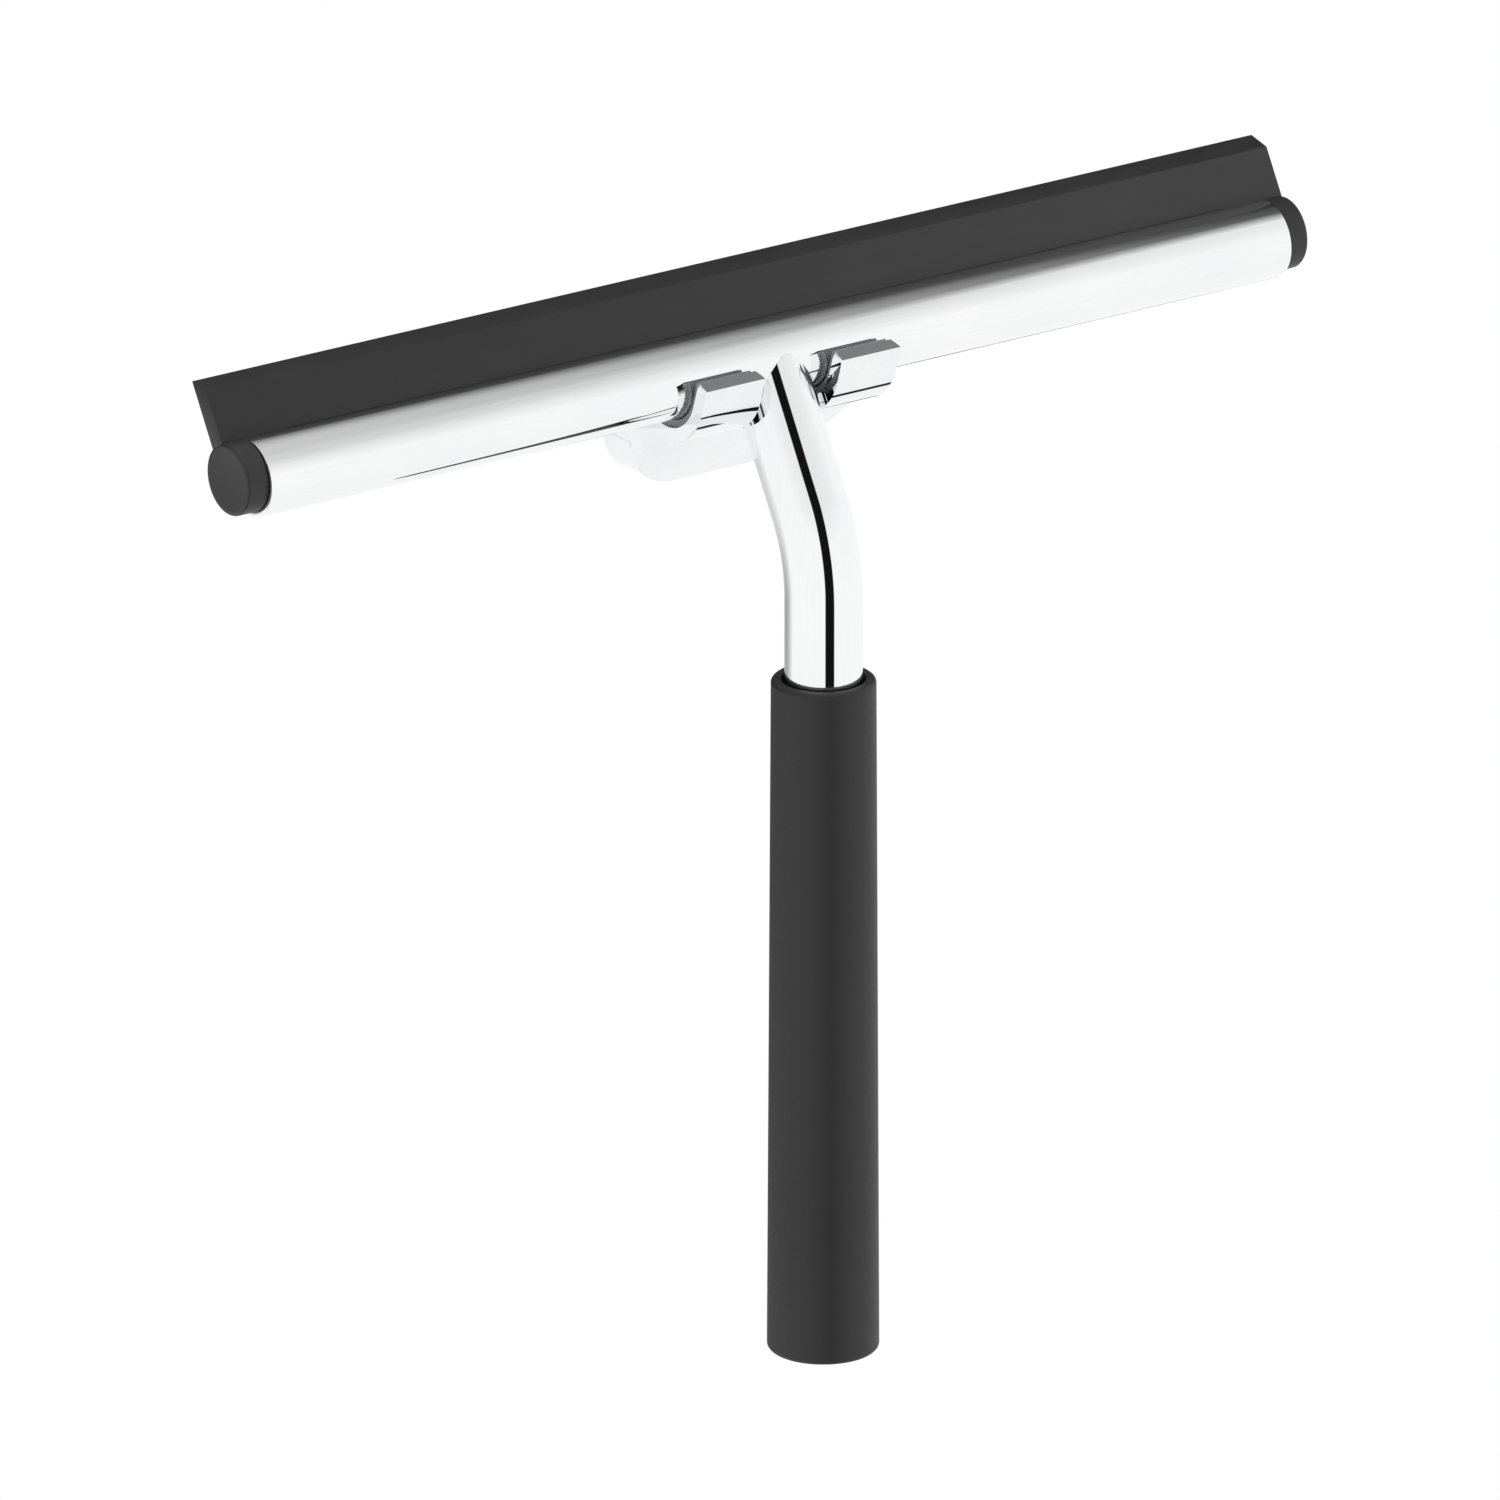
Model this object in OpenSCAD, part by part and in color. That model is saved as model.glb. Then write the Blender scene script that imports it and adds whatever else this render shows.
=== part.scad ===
// Shower and window squeegee hanging on its two-pronged wall holder.
// +Z is up, X runs along the head, the wall is the plane y = 0 and the room is on the -Y side.
// The origin is the centre of the holder's back, on the wall.

/* [Head] */
// Length of the chromed head tube
head_len = 254; // [220:1:320]
// Outer diameter of the head tube
head_d = 16.2; // [15:0.1:18]
// Wall of the head tube
head_wall = 1.2; // [0.8:0.1:1.4]
// Distance from the wall to the axis of the head tube
head_off = 22.4; // [22:0.1:30]
// Height of the head tube's axis above the holder's centre
head_rise = 8.3; // [6:0.1:9]

/* [Blade] */
// Overall length of the blade, over both end caps
blade_len = 264; // [230:1:330]
// Thickness of the blade
blade_t = 4; // [3:0.1:4.4]
// Distance from the head tube's axis to the blade's wiping edge
blade_reach = 22; // [18:0.5:26]
// Depth of the ground bevel behind the wiping edge
blade_bevel = 3.6; // [2:0.1:5]
// Lean of the blade from upright, towards the wall
blade_lean = 30; // [26:1:34]
// Diameter of the bead that holds the blade in its channel
bead_d = 5.8; // [5:0.1:6]
// Distance from the head tube's axis to the bead's axis
bead_rise = 1.6; // [1.4:0.1:1.8]

/* [End caps] */
// Diameter of the end caps
cap_d = 15; // [14:0.1:15.6]
// Offset of the caps from the head tube's axis, towards the blade
cap_rise = 0.6; // [0:0.1:0.8]
// Length of the spigot that pushes into the tube
spigot_len = 10; // [6:0.5:14]
// Wall of the hollow spigot
spigot_wall = 1.6; // [1:0.1:2.5]
// Rounding of a cap's outer edge
cap_round = 0.7; // [0.3:0.1:1.2]

/* [Neck] */
// Outer diameter of the bent neck tube
neck_d = 16; // [14:0.1:16.2]
// Wall of the neck tube
neck_wall = 1.2; // [0.8:0.1:2]
// Distance that the grip stands in front of the head tube's axis
neck_off = 20.9; // [20:0.1:24]
// Centreline radius of the bend
bend_r = 35; // [26:1:45]
// Thinning of the tube's wall in the bend, each side
bend_thinning = 0.02; // [0.02:0.01:0.1]
// Length of the threaded insert, from the head tube's surface
insert_len = 14; // [12:1:20]
// Diameter of the screw through the head tube
screw_d = 4; // [3:0.5:4]
// Diameter of the screw's head
screw_head_d = 7; // [6:0.5:7]
// Height of the screw's head
screw_head_h = 2; // [1.5:0.1:2.1]
// Length of the screw under its head
screw_len = 15; // [12:1:18]
// Diameter of the curved washer
washer_d = 7.6; // [7:0.1:8]

/* [Grip] */
// Drop from the head tube's axis to the top of the grip
grip_drop = 62.9; // [60:0.1:90]
// Length of the grip
grip_len = 145.3; // [110:0.1:180]
// Diameter of the grip at its top
grip_top_d = 21.5; // [20:0.1:26]
// Diameter of the grip at its foot
grip_foot_d = 23; // [20:0.1:28]
// Rounding of the grip's edges
grip_round = 1.2; // [0.5:0.1:2]
// Thickness of the grip's closed foot
grip_foot_t = 3.5; // [2:0.5:6]
// Diameter of the relief around the neck at the grip's mouth
mouth_d = 17.2; // [16.8:0.1:19]
// Depth of that relief
mouth_depth = 2.5; // [1:0.5:5]
// Height of the plug's flange
plug_flange_t = 1.5; // [1:0.5:3]
// Length of the plug's spigot
plug_len = 8; // [5:1:15]

/* [Holder] */
// Width over both prongs
holder_w = 48.4; // [44:0.2:60]
// Height of the back plate
holder_h = 38; // [36:1:42]
// Thickness of the back plate
holder_t = 9.7; // [9:0.1:12]
// Corner radius of the back plate
holder_round = 10.5; // [8:0.5:12]
// Wall of the hollow casting
holder_wall = 2.3; // [1.6:0.1:2.6]
// Width of the gap between the prongs
slot_w = 19; // [18.4:0.1:21]
// Inner radius of the hooks
hook_in_r = 9.9; // [9.8:0.1:10.4]
// Thickness of the hooks
hook_t = 3; // [2.5:0.1:4]
// Outward lean of the hooks' lips
lip_lean = 18; // [16:1:24]
// Length of the lips
lip_len = 5.6; // [4:0.1:8]
// Corner radius of the lips, seen from the front
lip_round = 2.6; // [1:0.1:4]
// Height of the hooks' back wall above the head tube's axis
seat_rise = 3; // [1:0.5:5]
// Wall of the soft pads, left clear at each side of a prong
pad_inset = 0.8; // [0.4:0.1:2]

/* [Wall bracket] */
// Width of the bracket
bracket_w = 36; // [34:0.5:38]
// Height of the bracket
bracket_h = 28.5; // [26:0.5:29]
// Thickness of the bracket
bracket_t = 2.5; // [2:0.1:3]
// Corner radius of the bracket
bracket_round = 6; // [6:0.5:9]
// Distance between the two screw holes
hole_spacing = 26; // [24:0.5:26]
// Diameter of the screw holes
hole_d = 4.5; // [4:0.1:5]
// Depth of the bracket's lower flange
flange_depth = 3.6; // [3:0.1:4]
// Width of the lower flange
flange_w = 20; // [12:1:22]
// Diameter of the grub screw
grub_d = 4; // [3:0.5:4]
// Length of the grub screw
grub_len = 6; // [5:0.5:6]

/* [Fits] */
// Gap between a push-in or slid-in piece and its bore, all round
slide_gap = 0.05; // [0.02:0.01:0.1]
// Gap between the blade and its slot, each side
blade_gap = 0.15; // [0.05:0.05:0.3]
// Gap between the head tube and the pads it hangs in
seat_gap = 0.3; // [0.2:0.05:0.5]
// Gap between an end cap and the tube's end
cap_gap = 0.1; // [0.05:0.05:0.3]

/* [Hidden] */
$fn = 96;

head_r = head_d / 2;
head_bore_r = head_r - head_wall;
neck_r = neck_d / 2;
neck_bore_r = neck_r - neck_wall;
screw_r = screw_d / 2;
bead_r = bead_d / 2;
bevel_start = blade_reach - blade_bevel;
channel_r = head_bore_r - slide_gap;
// The channel ends just inside the two cap spigots
channel_len = head_len - 2 * spigot_len - 4 * cap_gap;
// The channel's flat underside clears the screw head below it
screw_seat = washer_seat_depth(washer_d / 2) - 0.4;
screw_top = screw_seat - screw_head_h;
channel_floor = screw_top - seat_gap;
// Where the neck's two straight runs would cross, and how far short of it each one ends
corner_dist = neck_off / sin(blade_lean);
bend_back = bend_r * tan(blade_lean / 2);
bend_top_z = -neck_off / tan(blade_lean) - bend_back;
grip_foot_z = -grip_drop - grip_len;
plug_flange_z = grip_foot_z + grip_foot_t;
neck_end_z = plug_flange_z + plug_flange_t;
// How far the straight runs reach past the ends of the bend
bend_lap = 0.4;
hook_out_r = hook_in_r + hook_t;
pad_in_r = head_r + seat_gap;
pad_out_r = hook_in_r - slide_gap;
prong_w = (holder_w - slot_w) / 2;
prong_mid = (holder_w + slot_w) / 4;
plate_front = head_off - holder_t;
plate_top = holder_h / 2 - head_rise;
plate_foot = plate_top - holder_h;
cavity_front = plate_front + holder_wall;
bracket_front = head_off - bracket_t;
// The bracket hangs the casting by its top edge
bracket_top = plate_top - holder_wall - seat_gap;
bracket_foot = bracket_top - bracket_h;
grub_y = bracket_front - flange_depth / 2;
reach = 60;

// Height above the tube's axis of a washer's rim, resting in the tube's bore
function washer_seat_depth(r) = sqrt(pow(head_bore_r, 2) - pow(r, 2));

// Places a piece that was drawn around the head tube's axis
module at_head() {
    translate([0, -head_off, head_rise]) children();
}

// Extrudes a side view (drawn as Y across and Z up) along X
module along_x(length) {
    rotate([90, 0, 90]) linear_extrude(length, center = true) children();
}

// Turns a side view so that its upright axis lies along the blade, with the room to its left
module leaning() {
    rotate(-blade_lean) children();
}

// Puts a piece drawn downwards from the origin along the neck's upper run
module down_neck() {
    rotate([-blade_lean, 0, 0]) children();
}

module rounded_plate(w, h, r) {
    square([w - 2 * r, h], center = true);
    square([w, h - 2 * r], center = true);
    for (x = [-1, 1], z = [-1, 1])
        translate([x * (w / 2 - r), z * (h / 2 - r)]) circle(r);
}

// Chromed brass tube with a slot for the blade and a hole for the neck's screw
module head_tube() {
    color("gainsboro") at_head() difference() {
        along_x(head_len) difference() {
            circle(head_r);
            circle(head_bore_r);
            leaning() translate([-blade_t / 2 - blade_gap, 0])
                square([blade_t + 2 * blade_gap, reach]);
        }
        down_neck() translate([0, 0, -reach / 2])
            cylinder(h = reach / 2, r = screw_r + 2 * slide_gap + blade_gap);
    }
}

// Cut away from each end of the blade so that it clears a cap and its spigot
module blade_end_notch() {
    x0 = channel_len / 2;
    rotate([90, 0, 90]) translate([0, 0, x0]) linear_extrude(reach)
        leaning() translate([-reach / 2, head_bore_r + slide_gap - reach])
            square([reach, reach]);
    rotate([90, 0, 90]) translate([0, 0, head_len / 2]) linear_extrude(reach)
        leaning() translate([0, cap_rise]) circle(cap_d / 2 + cap_gap);
}

// Moulded silicone blade: a thick lip with one ground edge, and a bead along its root
module blade() {
    color("dimgray") at_head() difference() {
        along_x(blade_len) leaning() {
            polygon([[-blade_t / 2, bead_rise], [blade_t / 2, bead_rise],
                     [blade_t / 2, blade_reach], [-blade_t / 2, bevel_start]]);
            translate([0, bead_rise]) circle(bead_r);
        }
        blade_end_notch();
        mirror([1, 0, 0]) blade_end_notch();
    }
}

// Extruded channel inside the tube, which grips the blade's bead
module blade_channel() {
    color("darkgray") at_head() along_x(channel_len) leaning() difference() {
        intersection() {
            circle(channel_r);
            translate([-reach / 2, -channel_floor]) square([reach, reach]);
        }
        translate([0, bead_rise]) circle(bead_r + blade_gap);
        translate([-blade_t / 2 - blade_gap, bead_rise])
            square([blade_t + 2 * blade_gap, reach]);
    }
}

// Push-in plastic cap, drawn for the +X end
module end_cap() {
    cap_r = cap_d / 2;
    disc_x = head_len / 2 + cap_gap;
    disc_t = (blade_len - head_len) / 2 - cap_gap;
    flat_r = cap_r - cap_round;
    rise_y = cap_rise * sin(blade_lean);
    rise_z = cap_rise * cos(blade_lean);
    translate([disc_x, rise_y, rise_z]) rotate([0, 90, 0]) rotate_extrude() {
        square([cap_r, disc_t - cap_round]);
        square([flat_r, disc_t]);
        intersection() {
            translate([flat_r, disc_t - cap_round]) circle(cap_round, $fn = 48);
            square([cap_r, disc_t]);
        }
    }
    translate([disc_x - spigot_len, 0, 0]) rotate([0, 90, 0]) difference() {
        cylinder(h = spigot_len, r = channel_r - slide_gap);
        translate([0, 0, -1])
            cylinder(h = spigot_len - spigot_wall + 1, r = channel_r - slide_gap - spigot_wall);
    }
}

module end_cap_right() {
    color("dimgray") at_head() end_cap();
}

module end_cap_left() {
    color("dimgray") at_head() mirror([1, 0, 0]) end_cap();
}

// Cross-section of the neck tube, thinned on both sides by the given amount
module neck_section(thinning = 0) {
    difference() {
        circle(neck_r - thinning);
        circle(neck_bore_r + thinning);
    }
}

// Chromed tube, notched to saddle the head tube, bent once, and running down inside the grip
module neck_tube() {
    upper_len = corner_dist - bend_back + bend_lap;
    color("gainsboro") at_head() {
        difference() {
            down_neck() translate([0, 0, -upper_len])
                linear_extrude(upper_len) neck_section();
            along_x(reach) circle(head_r + slide_gap);
        }
        translate([0, bend_r - neck_off, bend_top_z]) rotate([90, 0, -90])
            rotate_extrude(angle = blade_lean) translate([bend_r, 0])
                neck_section(bend_thinning);
        translate([0, -neck_off, neck_end_z])
            linear_extrude(bend_top_z + bend_lap - neck_end_z) neck_section();
    }
}

// Threaded insert brazed into the neck's upper end
module neck_insert() {
    color("goldenrod") at_head() difference() {
        down_neck() translate([0, 0, -head_r - insert_len])
            cylinder(h = head_r + insert_len, r = neck_bore_r - slide_gap);
        along_x(reach) circle(head_r + slide_gap);
        down_neck() translate([0, 0, -reach])
            cylinder(h = reach, r = screw_r + slide_gap);
    }
}

// Socket screw that draws the neck up to the head tube from inside
module neck_screw() {
    color("silver") at_head() down_neck() difference() {
        union() {
            translate([0, 0, -screw_seat]) cylinder(h = screw_head_h, d = screw_head_d);
            translate([0, 0, -screw_seat - screw_len]) cylinder(h = screw_len, r = screw_r);
        }
        translate([0, 0, -screw_seat + screw_head_h - 1.3])
            cylinder(h = 2, r = 1.45, $fn = 6);
    }
}

// Washer with a round underside that beds in the tube's bore
module saddle_washer() {
    color("silver") at_head() intersection() {
        down_neck() translate([0, 0, -head_bore_r]) difference() {
            cylinder(h = head_bore_r - screw_seat, d = washer_d);
            translate([0, 0, -1]) cylinder(h = head_bore_r, r = screw_r + slide_gap);
        }
        along_x(reach) circle(head_bore_r - slide_gap);
    }
}

// Moulded grip, a little thicker at its foot, stretched over the neck tube
module grip_sleeve() {
    top_r = grip_top_d / 2;
    foot_r = grip_foot_d / 2;
    translate([0, -head_off - neck_off, head_rise + grip_foot_z])
        color("dimgray") rotate_extrude() difference() {
            union() {
                polygon([[0, 0], [foot_r - grip_round, 0], [foot_r, grip_round],
                         [top_r, grip_len - grip_round], [top_r - grip_round, grip_len],
                         [0, grip_len]]);
                translate([foot_r - grip_round, grip_round]) circle(grip_round, $fn = 48);
                translate([top_r - grip_round, grip_len - grip_round])
                    circle(grip_round, $fn = 48);
            }
            translate([0, grip_foot_t]) square([neck_r + slide_gap, grip_len]);
            translate([0, grip_len - mouth_depth]) square([mouth_d / 2, grip_len]);
        }
}

// Plastic plug that closes the neck tube's lower end inside the grip
module tube_plug() {
    color("white") at_head() translate([0, -neck_off, plug_flange_z]) {
        cylinder(h = plug_flange_t, r = neck_r);
        cylinder(h = plug_flange_t + plug_len, r = neck_bore_r - slide_gap);
    }
}

// Side view of one hook, from its lip round under the tube to the back plate
module hook_side() {
    difference() {
        union() {
            intersection() {
                circle(hook_out_r);
                rotate(lip_lean) translate([-reach / 2, -reach]) square([reach, reach]);
            }
            polygon([[0, -hook_out_r], [plate_front, -hook_out_r - hook_t],
                     [plate_front, seat_rise], [hook_in_r, seat_rise], [0, 0]]);
        }
        circle(hook_in_r);
        translate([-reach, 0]) square([reach + hook_in_r, reach]);
        rotate(lip_lean) translate([-hook_in_r, 0]) square([hook_in_r, reach]);
    }
    rotate(lip_lean) translate([-hook_out_r, 0]) square([hook_t, lip_len]);
}

// Front outline of a prong, with the two top corners of its lip rounded, drawn as X and Z
module prong_front() {
    lip_top = lip_len * cos(lip_lean) - hook_in_r * sin(lip_lean) + 1;
    translate([-prong_w / 2, -reach]) square([prong_w, reach + lip_top - lip_round]);
    translate([-prong_w / 2 + lip_round, -reach])
        square([prong_w - 2 * lip_round, reach + lip_top]);
    for (side = [-1, 1])
        translate([side * (prong_w / 2 - lip_round), lip_top - lip_round]) circle(lip_round);
}

// Sloping web under the hooks, which runs out to the plate's rounded lower corners
module gusset() {
    edge = 0.2;
    hull() {
        translate([-holder_w / 2, -edge, -hook_out_r]) cube([holder_w, edge, edge]);
        intersection() {
            translate([0, plate_front + edge, plate_top - holder_h / 2]) rotate([90, 0, 0])
                linear_extrude(edge) rounded_plate(holder_w, holder_h, holder_round, $fn = 32);
            translate([-reach, 0, -reach - hook_out_r - hook_t])
                cube([2 * reach, reach, reach]);
        }
    }
}

// Chromed zinc casting: back plate, web and two open hooks
module holder_body() {
    color("silver") at_head() difference() {
        union() {
            translate([0, head_off, plate_top - holder_h / 2]) rotate([90, 0, 0])
                linear_extrude(holder_t) rounded_plate(holder_w, holder_h, holder_round);
            intersection() {
                along_x(holder_w) hook_side();
                union() {
                    for (side = [-1, 1]) translate([side * prong_mid, 0, 0])
                        rotate([90, 0, 0]) linear_extrude(2 * reach, center = true)
                            prong_front();
                    translate([-holder_w / 2, 0, -reach])
                        cube([holder_w, reach, 2 * reach]);
                }
            }
            gusset();
        }
        // room for the neck, which passes between the prongs
        down_neck() translate([0, 0, -reach]) {
            cylinder(h = reach, d = slot_w);
            translate([-slot_w / 2, -reach, 0]) cube([slot_w, reach, reach]);
        }
        // hollow back, for the wall bracket
        translate([0, head_off + 1, plate_top - holder_h / 2]) rotate([90, 0, 0])
            linear_extrude(head_off + 1 - cavity_front)
                rounded_plate(holder_w - 2 * holder_wall, holder_h - 2 * holder_wall,
                              holder_round - holder_wall);
        // threaded hole for the grub screw
        translate([0, grub_y, plate_foot - 1])
            cylinder(h = holder_wall + 2, r = grub_d / 2 + slide_gap);
    }
}

// Soft pad bonded inside one hook
module hook_pad() {
    pad_t = pad_out_r - pad_in_r;
    along_x(prong_w - 2 * pad_inset) {
        difference() {
            intersection() {
                circle(pad_out_r);
                rotate(lip_lean) translate([-reach / 2, -reach]) square([reach, reach]);
            }
            circle(pad_in_r);
            translate([0, 0]) square([reach, reach]);
        }
        rotate(lip_lean) translate([-pad_out_r, 0]) square([pad_t, lip_len - pad_inset]);
    }
}

module hook_pad_left() {
    color("lightgray") at_head() translate([-prong_mid, 0, 0]) hook_pad();
}

module hook_pad_right() {
    color("lightgray") at_head() translate([prong_mid, 0, 0]) hook_pad();
}

// Steel bracket that is screwed to the wall first
module wall_bracket() {
    mid_z = (bracket_top + bracket_foot) / 2;
    color("darkgray") at_head() difference() {
        union() {
            translate([0, head_off, mid_z]) rotate([90, 0, 0])
                linear_extrude(bracket_t)
                    rounded_plate(bracket_w, bracket_h, bracket_round);
            translate([-flange_w / 2, bracket_front - flange_depth, bracket_foot])
                cube([flange_w, flange_depth + bracket_t / 2, bracket_t]);
        }
        for (side = [-1, 1])
            translate([side * hole_spacing / 2, head_off + 1, -head_rise])
                rotate([90, 0, 0]) cylinder(h = bracket_t + 2, d = hole_d);
    }
}

// Grub screw that locks the casting to the bracket from below
module grub_screw() {
    color("dimgray") at_head() translate([0, grub_y, bracket_foot - grub_len])
        difference() {
            cylinder(h = grub_len, r = grub_d / 2);
            translate([0, 0, -1]) cylinder(h = 3, r = 1.1, $fn = 6);
        }
}

head_tube();
blade();
blade_channel();
end_cap_left();
end_cap_right();
neck_tube();
neck_insert();
neck_screw();
saddle_washer();
grip_sleeve();
tube_plug();
holder_body();
hook_pad_left();
hook_pad_right();
wall_bracket();
grub_screw();
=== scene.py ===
import math

import bmesh
import bpy
from mathutils import Matrix, Vector


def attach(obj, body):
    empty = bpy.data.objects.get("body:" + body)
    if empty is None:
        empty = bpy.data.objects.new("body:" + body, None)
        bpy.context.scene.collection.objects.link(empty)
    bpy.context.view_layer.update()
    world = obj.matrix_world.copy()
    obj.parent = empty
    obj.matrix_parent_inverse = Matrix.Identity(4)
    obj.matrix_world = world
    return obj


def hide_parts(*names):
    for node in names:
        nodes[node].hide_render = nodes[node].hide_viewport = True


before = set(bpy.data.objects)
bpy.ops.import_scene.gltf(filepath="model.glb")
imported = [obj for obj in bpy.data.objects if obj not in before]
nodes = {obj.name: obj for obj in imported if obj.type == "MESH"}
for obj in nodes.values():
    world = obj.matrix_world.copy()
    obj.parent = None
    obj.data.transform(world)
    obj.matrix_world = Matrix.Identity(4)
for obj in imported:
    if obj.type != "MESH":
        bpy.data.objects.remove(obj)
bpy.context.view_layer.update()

MM = 0.001
HEAD = Vector((0.0, -22.4 * MM, 8.3 * MM))
LEAN = math.radians(30)


def linear(hex_colour):
    """The linear RGBA of an sRGB hex colour."""
    parts = [int(hex_colour[i:i + 2], 16) / 255 for i in (1, 3, 5)]
    return [v / 12.92 if v <= 0.04045 else ((v + 0.055) / 1.055) ** 2.4 for v in parts] + [1.0]


def add(tree, kind, settings=None, **inputs):
    """Adds a node. A tuple (node, output) is linked to its socket and anything else is set on it."""
    node = tree.nodes.new(kind)
    for name, value in (settings or {}).items():
        setattr(node, name, value)
    for name, value in inputs.items():
        socket = node.inputs[int(name[1:])] if name[0] == "_" else node.inputs[name.replace("_", " ")]
        if isinstance(value, tuple) and hasattr(value[0], "outputs"):
            tree.links.new(value[0].outputs[value[1]], socket)
        else:
            socket.default_value = value
    return node


def surface(name, dark, light, rough, grain_mm, stretch=(1, 1, 1), bump_mm=0.0, cloud_mm=40.0, dust=0.0,
            dust_colour="#d8d8d6", **shader):
    """A procedural surface: a cloudy and grainy mix of two colours, uneven roughness and fine relief."""
    material = bpy.data.materials.new(name)
    material.use_nodes = True
    tree = material.node_tree
    tree.nodes.clear()
    place = add(tree, "ShaderNodeTexCoord")
    turned = add(tree, "ShaderNodeMapping", Vector=(place, "Object"), Scale=stretch)
    grain = add(tree, "ShaderNodeTexNoise", Vector=(turned, "Vector"), Scale=1000 / grain_mm,
                Detail=4.0, Roughness=0.6)
    cloud = add(tree, "ShaderNodeTexNoise", Vector=(place, "Object"), Scale=1000 / cloud_mm,
                Detail=3.0, Roughness=0.55)
    both = add(tree, "ShaderNodeMix", {"data_type": "FLOAT"}, Factor=0.5,
               A=(grain, "Fac"), B=(cloud, "Fac"))
    spread = add(tree, "ShaderNodeMapRange", Value=(both, "Result"), From_Min=0.35, From_Max=0.65)
    colour = add(tree, "ShaderNodeMix", {"data_type": "RGBA"}, _0=(spread, "Result"),
                 _6=linear(dark), _7=linear(light))
    base = (colour, 2)
    if dust:
        normal = add(tree, "ShaderNodeNewGeometry")
        up = add(tree, "ShaderNodeSeparateXYZ", Vector=(normal, "Normal"))
        settled = add(tree, "ShaderNodeMath", {"operation": "MULTIPLY"}, _0=(up, "Z"), _1=(cloud, "Fac"))
        film = add(tree, "ShaderNodeMapRange", Value=(settled, "Value"), From_Min=0.2, From_Max=0.7,
                   To_Max=dust)
        dusty = add(tree, "ShaderNodeMix", {"data_type": "RGBA"}, _0=(film, "Result"),
                    _6=base, _7=linear(dust_colour))
        base = (dusty, 2)
    shine = add(tree, "ShaderNodeMapRange", Value=(grain, "Fac"), From_Min=0.3, From_Max=0.7,
                To_Min=rough[0], To_Max=rough[1])
    body = add(tree, "ShaderNodeBsdfPrincipled", Base_Color=base, Roughness=(shine, "Result"), **shader)
    if bump_mm:
        relief = add(tree, "ShaderNodeBump", Height=(grain, "Fac"), Distance=bump_mm * MM, Strength=1.0)
        tree.links.new(relief.outputs["Normal"], body.inputs["Normal"])
    add(tree, "ShaderNodeOutputMaterial", Surface=(body, "BSDF"))
    return material


# Bright trim. Drawn brass tube and the zinc casting, both polished and chrome plated; wiping
# leaves very fine scratches along the tubes, and water leaves faint dull spots.
tube_chrome = surface("tube chrome", "#f4f5f6", "#fbfbfb", (0.015, 0.035), 0.5, (0.05, 1, 1), 0.0,
                      cloud_mm=30, Metallic=1.0)
neck_chrome = surface("neck chrome", "#f4f5f6", "#fbfbfb", (0.015, 0.035), 0.5, (1, 1, 0.05), 0.0,
                      cloud_mm=30, Metallic=1.0)
holder_chrome = surface("holder chrome", "#f0f1f2", "#f8f8f9", (0.02, 0.05), 1.2, (1, 1, 1), 0.0,
                        cloud_mm=15, Metallic=1.0)

# Soft black parts. The blade is smooth silicone, the grip is matt rubber with a fine moulded
# grain and the caps are nylon with a spark-eroded texture.
blade_silicone = surface("blade silicone", "#252525", "#2a2a2a", (0.42, 0.55), 2.0, (0.2, 1, 1), 0.004,
                         cloud_mm=60, dust=0.02)
grip_rubber = surface("grip rubber", "#212121", "#262626", (0.50, 0.62), 0.6, (1, 1, 1), 0.01,
                      cloud_mm=45, dust=0.04)
cap_plastic = surface("cap plastic", "#252525", "#2e2e2e", (0.42, 0.55), 0.4, (1, 1, 1), 0.012,
                      cloud_mm=12, dust=0.04)

# Hidden fittings. Extruded aluminium channel, turned brass insert, stainless screws and
# bracket, a polyethylene plug and the translucent silicone pads in the hooks.
channel_aluminium = surface("channel aluminium", "#9fa2a5", "#b9bbbd", (0.28, 0.42), 0.3, (0.02, 1, 1),
                            0.004, Metallic=1.0)
insert_brass = surface("insert brass", "#a88a4c", "#c4a765", (0.2, 0.32), 0.3, (1, 1, 0.1), 0.003,
                       Metallic=1.0)
screw_steel = surface("screw steel", "#8d8e90", "#a4a5a7", (0.22, 0.34), 0.25, (1, 1, 1), 0.003,
                      cloud_mm=5, Metallic=1.0)
bracket_steel = surface("bracket steel", "#97989a", "#b0b1b2", (0.28, 0.42), 0.5, (1, 1, 0.05), 0.004,
                        Metallic=1.0)
plug_plastic = surface("plug plastic", "#d4d4d1", "#e4e4e2", (0.4, 0.5), 0.8, (1, 1, 1), 0.004)
pad_silicone = surface("pad silicone", "#85888a", "#94979a", (0.3, 0.4), 3.0, (1, 1, 1), 0.0,
                       cloud_mm=8)


def put_on(obj, material):
    """Gives a mesh one material all over."""
    obj.data.materials.clear()
    obj.data.materials.append(material)
    for face in obj.data.polygons:
        face.material_index = 0


for name, material in (("blade_channel", channel_aluminium), ("neck_insert", insert_brass),
                       ("neck_screw", screw_steel), ("saddle_washer", screw_steel),
                       ("grub_screw", screw_steel), ("wall_bracket", bracket_steel),
                       ("tube_plug", plug_plastic), ("hook_pad_left", pad_silicone),
                       ("hook_pad_right", pad_silicone)):
    put_on(nodes[name], material)


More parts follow.
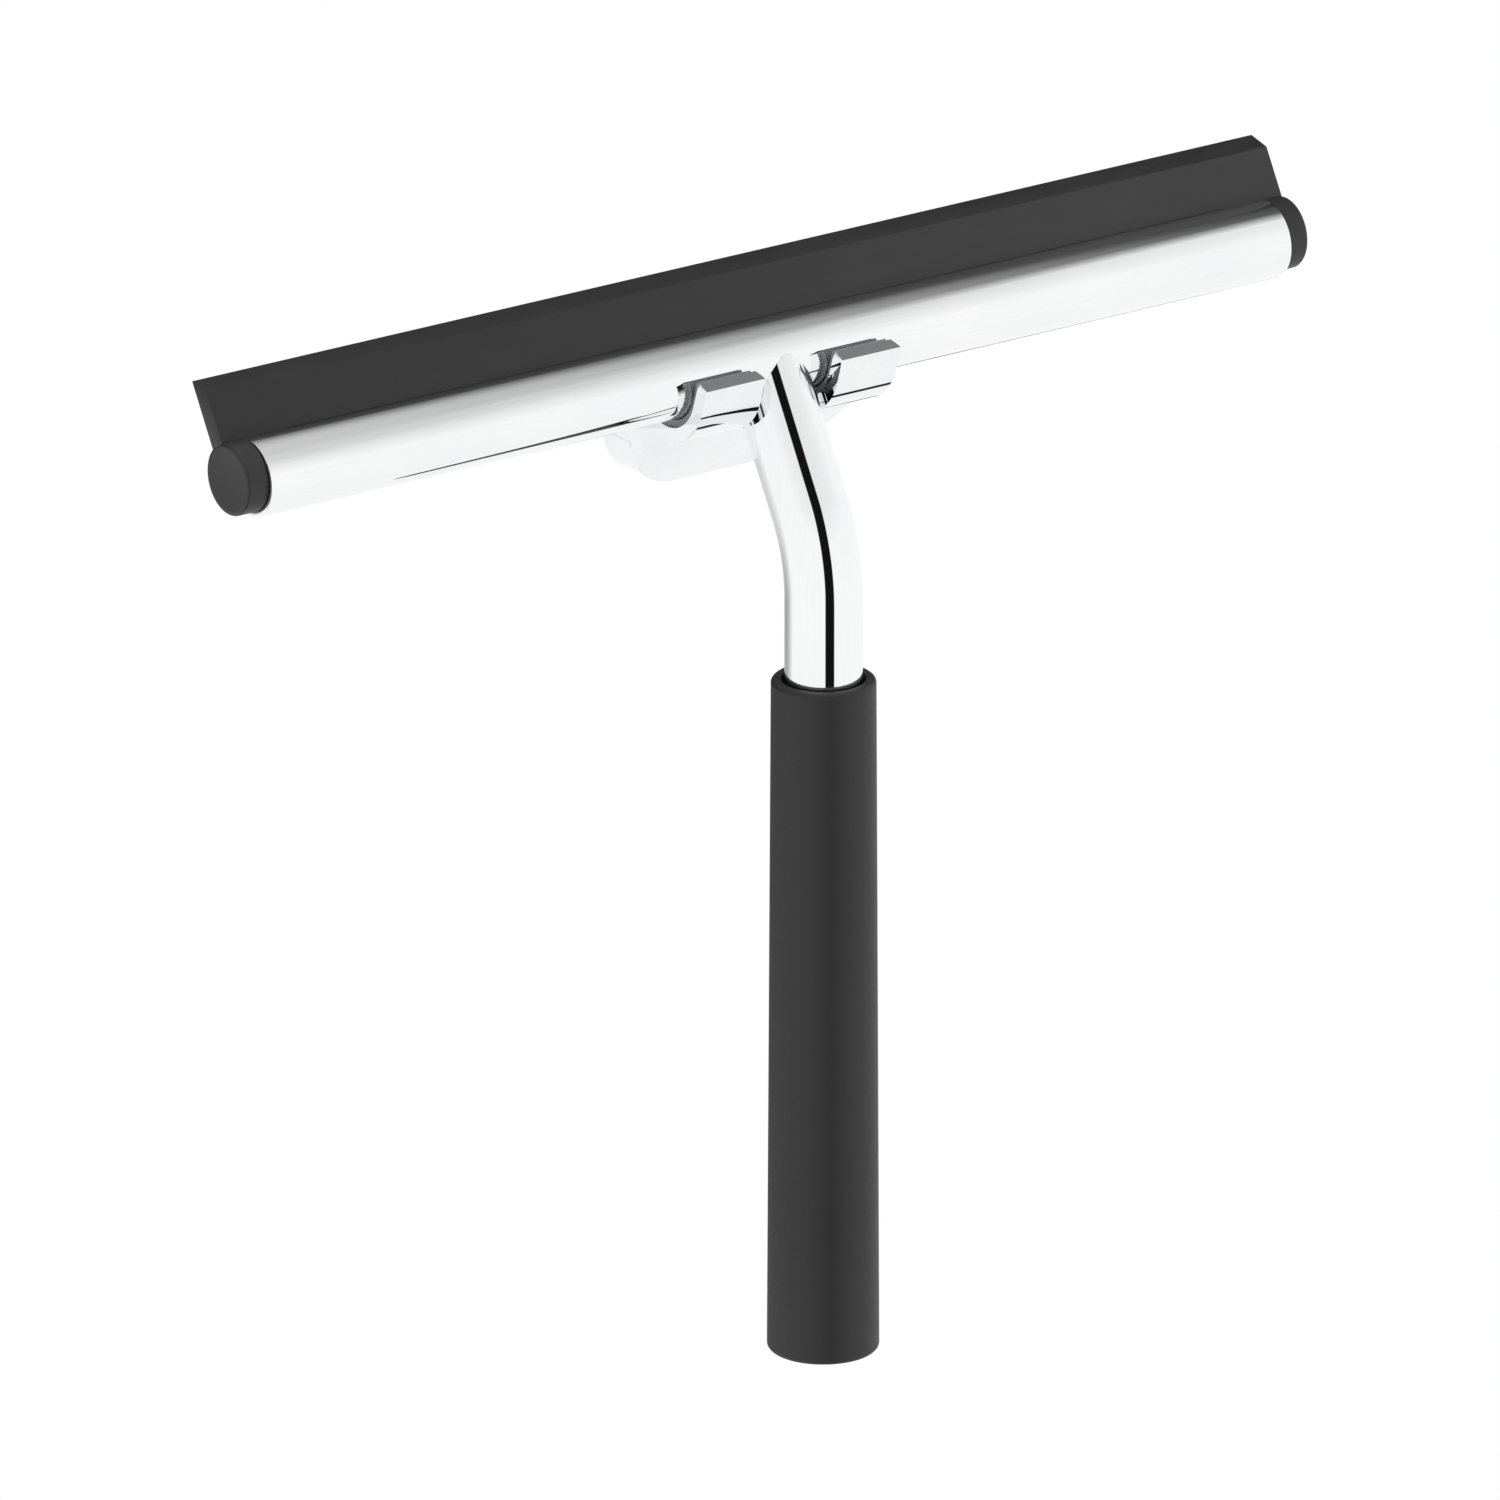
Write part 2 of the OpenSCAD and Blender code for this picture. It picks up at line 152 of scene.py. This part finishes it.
def piece(name, bm, material, body, stands_for, sharp=30):
    """Turns a bmesh in millimetres about the head tube's axis into a finished piece in the frame."""
    bmesh.ops.remove_doubles(bm, verts=bm.verts[:], dist=1e-5)
    bmesh.ops.recalc_face_normals(bm, faces=bm.faces[:])
    bmesh.ops.transform(bm, matrix=Matrix.Translation(HEAD) @ Matrix.Scale(MM, 4), verts=bm.verts[:])
    for face in bm.faces:
        face.smooth = True
    for edge in bm.edges:
        edge.smooth = len(edge.link_faces) == 2 and edge.calc_face_angle(0) < math.radians(sharp)
    mesh = bpy.data.meshes.new(name)
    bm.to_mesh(mesh)
    bm.free()
    obj = bpy.data.objects.new(name, mesh)
    bpy.context.scene.collection.objects.link(obj)
    put_on(obj, material)
    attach(obj, body)
    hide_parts(*stands_for)
    return obj


# Head tube. Drawn brass tube, 16.2 mm across, with a slot sawn along it for the blade.
# Its ends and the slot's lips are cut square and lightly broken before plating.
HEAD_R = 8.1
BORE_R = 6.9
HALF_HEAD = 127.0
HALF_SLOT = 2.15
half_slot = math.asin(HALF_SLOT / HEAD_R)
bm = bmesh.new()
at_slot = Matrix.Rotation(-LEAN - half_slot, 3, "X")
first = [bm.verts.new(at_slot @ Vector((-HALF_HEAD, 0.0, r))) for r in (BORE_R, HEAD_R)]
rim = bm.edges.new(first)
bmesh.ops.spin(bm, geom=first + [rim], cent=(0, 0, 0), axis=(1, 0, 0),
               angle=-(math.tau - 2 * half_slot), steps=180)
run = bmesh.ops.extrude_face_region(bm, geom=bm.faces[:])
bmesh.ops.translate(bm, vec=(2 * HALF_HEAD, 0, 0),
                    verts=[g for g in run["geom"] if isinstance(g, bmesh.types.BMVert)])
bmesh.ops.recalc_face_normals(bm, faces=bm.faces[:])
corners = [e for e in bm.edges if len(e.link_faces) == 2 and e.calc_face_angle(0) > math.radians(50)]
bmesh.ops.bevel(bm, geom=corners, offset=0.15, segments=2, profile=0.5, affect="EDGES", material=-1,
                clamp_overlap=True)
piece("chrome_head", bm, tube_chrome, "squeegee", ["head_tube"])

# Blade. One silicone moulding with a bead that sits in the channel; the lip is 4 mm thick
# and its front edge is ground back to a wiping edge on the wall side.
HALF_BLADE = 132.0
HALF_T = 2.0
REACH = 22.0
BEVEL_START = 18.4
SHOULDER = 7.62
HALF_BEAD = 116.5
BEAD_R = 2.9
BEAD_RISE = 1.6


def leant(across, along):
    """A point of the blade's section, turned from the blade's own lean into (y, z)."""
    return (across * math.cos(LEAN) + along * math.sin(LEAN),
            -across * math.sin(LEAN) + along * math.cos(LEAN))


bm = bmesh.new()
section = [(-HALF_T, SHOULDER), (HALF_T, SHOULDER), (HALF_T, REACH), (-HALF_T, BEVEL_START)]
loop = [bm.verts.new((-HALF_BLADE, *leant(a, b))) for a, b in section]
face = bm.faces.new(loop)
run = bmesh.ops.extrude_face_region(bm, geom=[face])
bmesh.ops.translate(bm, vec=(2 * HALF_BLADE, 0, 0),
                    verts=[g for g in run["geom"] if isinstance(g, bmesh.types.BMVert)])
bmesh.ops.recalc_face_normals(bm, faces=bm.faces[:])
bmesh.ops.bevel(bm, geom=bm.edges[:], offset=0.12, segments=2, profile=0.5, affect="EDGES", material=-1)
root = [(-HALF_T, BEAD_RISE), (HALF_T, BEAD_RISE), (HALF_T, 7.9), (-HALF_T, 7.9)]
loop = [bm.verts.new((-HALF_BEAD, *leant(a, b))) for a, b in root]
face = bm.faces.new(loop)
run = bmesh.ops.extrude_face_region(bm, geom=[face])
bmesh.ops.translate(bm, vec=(2 * HALF_BEAD, 0, 0),
                    verts=[g for g in run["geom"] if isinstance(g, bmesh.types.BMVert)])
bmesh.ops.create_cone(bm, cap_ends=True, segments=48, radius1=BEAD_R, radius2=BEAD_R, depth=2 * HALF_BEAD,
                      matrix=Matrix.Translation((0, *leant(0, BEAD_RISE)))
                      @ Matrix.Rotation(math.pi / 2, 4, "Y"))
piece("blade_lip", bm, blade_silicone, "squeegee", ["blade"])

# End caps. Injection-moulded nylon discs on hollow spigots that push into the tube's bore;
# the disc's outer edge is rounded and its rim stands proud of the tube towards the blade.
CAP_FOOT = 127.1
CAP_RISE = 0.6


def lathe(bm, outline, centre, axis, across, steps=96):
    """Spins an open outline of (along, radius) points, whose ends lie on the axis, into a closed solid."""
    axis = Vector(axis).normalized()
    across = Vector(across).normalized()
    points = [bm.verts.new(Vector(centre) + axis * a + across * r) for a, r in outline]
    edges = [bm.edges.new(pair) for pair in zip(points, points[1:])]
    bmesh.ops.spin(bm, geom=points + edges, cent=centre, axis=axis, angle=math.tau, steps=steps,
                   use_merge=True)
    bmesh.ops.remove_doubles(bm, verts=bm.verts[:], dist=1e-4)


def rounding(a, r, radius, start, end, steps=6):
    """Points of a small arc about (a, r), from start to end in degrees."""
    turns = [math.radians(start + (end - start) * i / steps) for i in range(steps + 1)]
    return [(a + radius * math.cos(t), r + radius * math.sin(t)) for t in turns]


for side, word in ((-1, "left"), (1, "right")):
    bm = bmesh.new()
    centre = Vector((side * CAP_FOOT, *leant(0, CAP_RISE)))
    outline = ([(0, 0), (0, 7.4), (0.1, 7.5)]
               + rounding(4.2, 6.8, 0.7, 90, 0)
               + [(4.88, 6.2), (4.82, 5.6), (4.8, 0)])
    lathe(bm, outline, centre, (side, 0, 0), (0, 0, 1), 128)
    spigot = [(0.05, 0), (0.05, 6.75), (-9.6, 6.75), (-10, 6.35), (-10, 5.2), (-1.6, 5.2), (-1.6, 0)]
    lathe(bm, spigot, (side * CAP_FOOT, 0, 0), (side, 0, 0), (0, 0, 1), 64)
    piece("cap_" + word + "_moulding", bm, cap_plastic, "cap_" + word, ["end_cap_" + word])

# Neck. Chromed 16 mm tube, bent once through 30 degrees; its upper end is notched to saddle
# the head tube and is pulled up to it from inside.
NECK_R = 8.0
NECK_BORE = 6.8
BEND_R = 35.0
NECK_OFF = 20.9
NECK_FOOT = -203.2
straight = NECK_OFF / math.sin(LEAN) - BEND_R * math.tan(LEAN / 2)
bend_z = -NECK_OFF / math.tan(LEAN) - BEND_R * math.tan(LEAN / 2)
bm = bmesh.new()
tilt = Matrix.Rotation(-LEAN, 4, "X")
outer = bmesh.ops.create_circle(bm, segments=144, radius=NECK_R, matrix=tilt)["verts"]
inner = bmesh.ops.create_circle(bm, segments=144, radius=NECK_BORE, matrix=tilt)["verts"]
rings = bm.edges[:]
bmesh.ops.bridge_loops(bm, edges=rings)


def grow(shift):
    """Carries the tube's open end straight on by a vector."""
    out = bmesh.ops.extrude_edge_only(bm, edges=tube_end)
    moved = [g for g in out["geom"] if isinstance(g, bmesh.types.BMVert)]
    bmesh.ops.translate(bm, vec=shift, verts=moved)
    return [g for g in out["geom"] if isinstance(g, bmesh.types.BMEdge)
            and all(v in moved for v in g.verts)]


tube_end = rings
down = tilt.to_3x3() @ Vector((0, 0, -1))
tube_end = grow(down * straight)
turn = bmesh.ops.spin(bm, geom=list({v for e in tube_end for v in e.verts}) + tube_end,
                      cent=(0, BEND_R - NECK_OFF, bend_z), axis=(1, 0, 0), angle=LEAN, steps=24)
tube_end = [g for g in turn["geom_last"] if isinstance(g, bmesh.types.BMEdge)]
tube_end = grow(Vector((0, 0, NECK_FOOT - bend_z)))
bmesh.ops.bridge_loops(bm, edges=tube_end)
piece("bent_neck", bm, neck_chrome, "squeegee", ["neck_tube"])

# Grip. Moulded rubber sleeve with a closed foot, a little thicker towards the foot, stretched
# over the lower neck; its mouth is relieved so that a thin dark ring shows round the tube.
bm = bmesh.new()
TOP_Z = -62.9
LONG = 145.3
outline = ([(0, 0)] + rounding(1.2, 10.3, 1.2, 180, 90, 8)
           + rounding(LONG - 1.0, 9.75, 1.0, 90, 0, 8)
           + [(LONG, 8.9)] + rounding(LONG - 0.3, 8.9, 0.3, 0, -90, 3)
           + [(LONG - 2.5, 8.6), (LONG - 2.5, 8.1), (3.5, 8.1), (3.5, 0)])
lathe(bm, outline, (0, -NECK_OFF, TOP_Z - LONG), (0, 0, 1), (1, 0, 0), 128)
piece("rubber_grip", bm, grip_rubber, "squeegee", ["grip_sleeve"])

# Holder. One chromed zinc casting: a rounded plate on the wall, a sloping web that swells out
# to the plate's lower corners, and two open hooks; every edge is broken before plating.
bm = bmesh.new()
bm.from_mesh(nodes["holder_body"].data)
bmesh.ops.transform(bm, matrix=Matrix.Scale(1 / MM, 4) @ Matrix.Translation(-HEAD), verts=bm.verts[:])
bmesh.ops.remove_doubles(bm, verts=bm.verts[:], dist=0.003)
bmesh.ops.dissolve_limit(bm, angle_limit=math.radians(0.5), verts=bm.verts[:], edges=bm.edges[:],
                         use_dissolve_boundaries=False, delimit={"NORMAL"})
bmesh.ops.recalc_face_normals(bm, faces=bm.faces[:])
rims = [e for e in bm.edges if len(e.link_faces) == 2 and e.calc_face_angle(0) > math.radians(44)
        and e.calc_length() > 0.15]
bmesh.ops.bevel(bm, geom=rims, offset=0.22, segments=3, profile=0.5, affect="EDGES", material=-1,
                clamp_overlap=True, loop_slide=True)
casting = piece("hook_casting", bm, holder_chrome, "holder", ["holder_body"], sharp=44)
even = casting.modifiers.new("even shading", "WEIGHTED_NORMAL")
even.keep_sharp = True
even.weight = 60

# Setting. A pale floor well below the hanging squeegee, and a plain white studio: the camera sees
# white, and the bright trim sees soft grey, a dark gap to the right and dark strips low down.
bpy.ops.mesh.primitive_plane_add(size=12, location=(0, 0, -1.2))
floor = bpy.context.object
floor.name = "floor"
put_on(floor, surface("floor", "#f4f4f4", "#fafafa", (0.7, 0.8), 3.0, bump_mm=0.05))
floor.visible_glossy = False
floor.visible_camera = False

world = bpy.data.worlds.new("studio")
bpy.context.scene.world = world
world.use_nodes = True
sky = world.node_tree
sky.nodes.clear()
where = add(sky, "ShaderNodeTexCoord")
parts = add(sky, "ShaderNodeSeparateXYZ", Vector=(where, "Generated"))


def stops(value, points):
    """A colour ramp over value through (position, grey level 0 to 255) points."""
    node = add(sky, "ShaderNodeValToRGB", Fac=value)
    ramp = node.color_ramp
    for at, grey in points[1:-1]:
        ramp.elements.new(at)
    for at, grey in points:
        element = min(ramp.elements, key=lambda e: abs(e.position - at))
        element.color = linear("#%02x%02x%02x" % (grey, grey, grey))
    return node


height = add(sky, "ShaderNodeMapRange", Value=(parts, "Z"), From_Min=-1.0, From_Max=1.0)
room_side = stops((height, "Result"), [(0.0, 250), (0.30, 253), (0.62, 253), (0.80, 236), (0.90, 215),
                                       (1.0, 210)])
wall_side = stops((height, "Result"), [(0.0, 240), (0.30, 90), (0.42, 10), (0.62, 10), (0.70, 50), (0.80, 90),
                                       (0.88, 140), (0.95, 190), (1.0, 210)])
raised = add(sky, "ShaderNodeMath", {"operation": "MULTIPLY_ADD"}, _0=(parts, "Z"), _1=0.9, _2=(parts, "Y"))
facing = add(sky, "ShaderNodeMapRange", Value=(raised, "Value"), From_Min=0.42, From_Max=0.75)
around = add(sky, "ShaderNodeMix", {"data_type": "RGBA"}, _0=(facing, "Result"),
             _6=(room_side, "Color"), _7=(wall_side, "Color"))
GAP_TURN = math.radians(-17.5)
gap_plane = add(sky, "ShaderNodeVectorMath", {"operation": "DOT_PRODUCT"}, _0=(where, "Generated"),
                _1=(math.cos(GAP_TURN), math.sin(GAP_TURN), 0))
gap_size = add(sky, "ShaderNodeMath", {"operation": "ABSOLUTE"}, _0=(gap_plane, "Value"))
gap = add(sky, "ShaderNodeMapRange", Value=(gap_size, "Value"), From_Min=0.20, From_Max=0.23,
          To_Min=1.0, To_Max=0.0)
in_room = add(sky, "ShaderNodeMath", {"operation": "LESS_THAN"}, _0=(parts, "Y"), _1=0.0)
low = add(sky, "ShaderNodeMath", {"operation": "LESS_THAN"}, _0=(parts, "Z"), _1=0.75)
below = add(sky, "ShaderNodeMath", {"operation": "LESS_THAN"}, _0=(parts, "Z"), _1=-0.5)
off_line = add(sky, "ShaderNodeMath", {"operation": "SUBTRACT"}, _0=(parts, "Y"), _1=0.06)
line_size = add(sky, "ShaderNodeMath", {"operation": "ABSOLUTE"}, _0=(off_line, "Value"))
line = add(sky, "ShaderNodeMapRange", Value=(line_size, "Value"), From_Min=0.04, From_Max=0.07,
           To_Min=1.0, To_Max=0.0)
skirting = add(sky, "ShaderNodeMath", {"operation": "MULTIPLY"}, _0=(line, "Result"), _1=(below, "Value"))
gap_room = add(sky, "ShaderNodeMath", {"operation": "MULTIPLY"}, _0=(gap, "Result"), _1=(in_room, "Value"))
gap_low = add(sky, "ShaderNodeMath", {"operation": "MULTIPLY"}, _0=(gap_room, "Value"), _1=(low, "Value"))
behind = add(sky, "ShaderNodeMath", {"operation": "GREATER_THAN"}, _0=(parts, "Y"), _1=0.66)
right = add(sky, "ShaderNodeMath", {"operation": "COMPARE"}, _0=(parts, "X"), _1=0.546, _2=0.02)
lower = add(sky, "ShaderNodeMath", {"operation": "LESS_THAN"}, _0=(parts, "Z"), _1=-0.28)
corner = add(sky, "ShaderNodeMath", {"operation": "MULTIPLY"}, _0=(behind, "Value"), _1=(right, "Value"))
outline = add(sky, "ShaderNodeMath", {"operation": "MULTIPLY"}, _0=(corner, "Value"), _1=(lower, "Value"))
beside = add(sky, "ShaderNodeMath", {"operation": "MULTIPLY"}, _0=(skirting, "Value"), _1=(right, "Value"))
low_lines = add(sky, "ShaderNodeMath", {"operation": "MAXIMUM"}, _0=(beside, "Value"), _1=(outline, "Value"))
dark_parts = add(sky, "ShaderNodeMath", {"operation": "MAXIMUM"}, _0=(gap_low, "Value"),
                 _1=(low_lines, "Value"))
flagged = add(sky, "ShaderNodeMix", {"data_type": "RGBA"}, _0=(dark_parts, "Value"),
              _6=(around, 2), _7=linear("#141414"))
seen = add(sky, "ShaderNodeLightPath")
plain = add(sky, "ShaderNodeBackground", Color=linear("#ffffff"), Strength=0.6)
mirrored = add(sky, "ShaderNodeBackground", Color=(flagged, 2), Strength=1.0)
white = add(sky, "ShaderNodeBackground", Color=linear("#ffffff"), Strength=1.0)
shiny = add(sky, "ShaderNodeMixShader", _0=(seen, "Is Glossy Ray"), _1=(plain, "Background"),
            _2=(mirrored, "Background"))
backdrop = add(sky, "ShaderNodeMixShader", _0=(seen, "Is Camera Ray"), _1=(shiny, "Shader"),
               _2=(white, "Background"))
add(sky, "ShaderNodeOutputWorld", Surface=(backdrop, "Shader"))

# Light. Two soft boxes, left and right of the camera's line, leave the grip's middle darker.
middle = Vector((0, -0.03, -0.07))
across_view = Vector((0.814, -0.581, 0.0))
for word, side, watts in (("left", -1, 17), ("right", 1, 15)):
    lamp = bpy.data.lights.new(word + " soft box", "AREA")
    lamp.shape = "DISK"
    lamp.size = 1.0
    lamp.energy = watts
    lamp.specular_factor = 0.4
    box = bpy.data.objects.new(word + " soft box", lamp)
    box.location = middle + across_view * side * 1.8 + Vector((0, -0.3, 0.7))
    box.rotation_euler = (box.location - middle).to_track_quat("Z", "Y").to_euler()
    box.visible_glossy = False
    bpy.context.scene.collection.objects.link(box)

# Camera. A long lens from the left, a little above the head.
target = Vector((-18.0, -42.8, -66.6)) * MM
azimuth, elevation = math.radians(-35.5), math.radians(19.9)
back = Vector((math.sin(azimuth) * math.cos(elevation), -math.cos(azimuth) * math.cos(elevation),
               math.sin(elevation)))
lens = bpy.data.cameras.new("camera")
lens.sensor_width = 36
lens.lens = 789
camera = bpy.data.objects.new("camera", lens)
camera.location = target + back * 6.667
camera.rotation_euler = back.to_track_quat("Z", "Y").to_euler()
lens.clip_start, lens.clip_end = 0.1, 50
bpy.context.scene.collection.objects.link(camera)
bpy.context.scene.camera = camera
bpy.context.scene.view_settings.view_transform = "Standard"
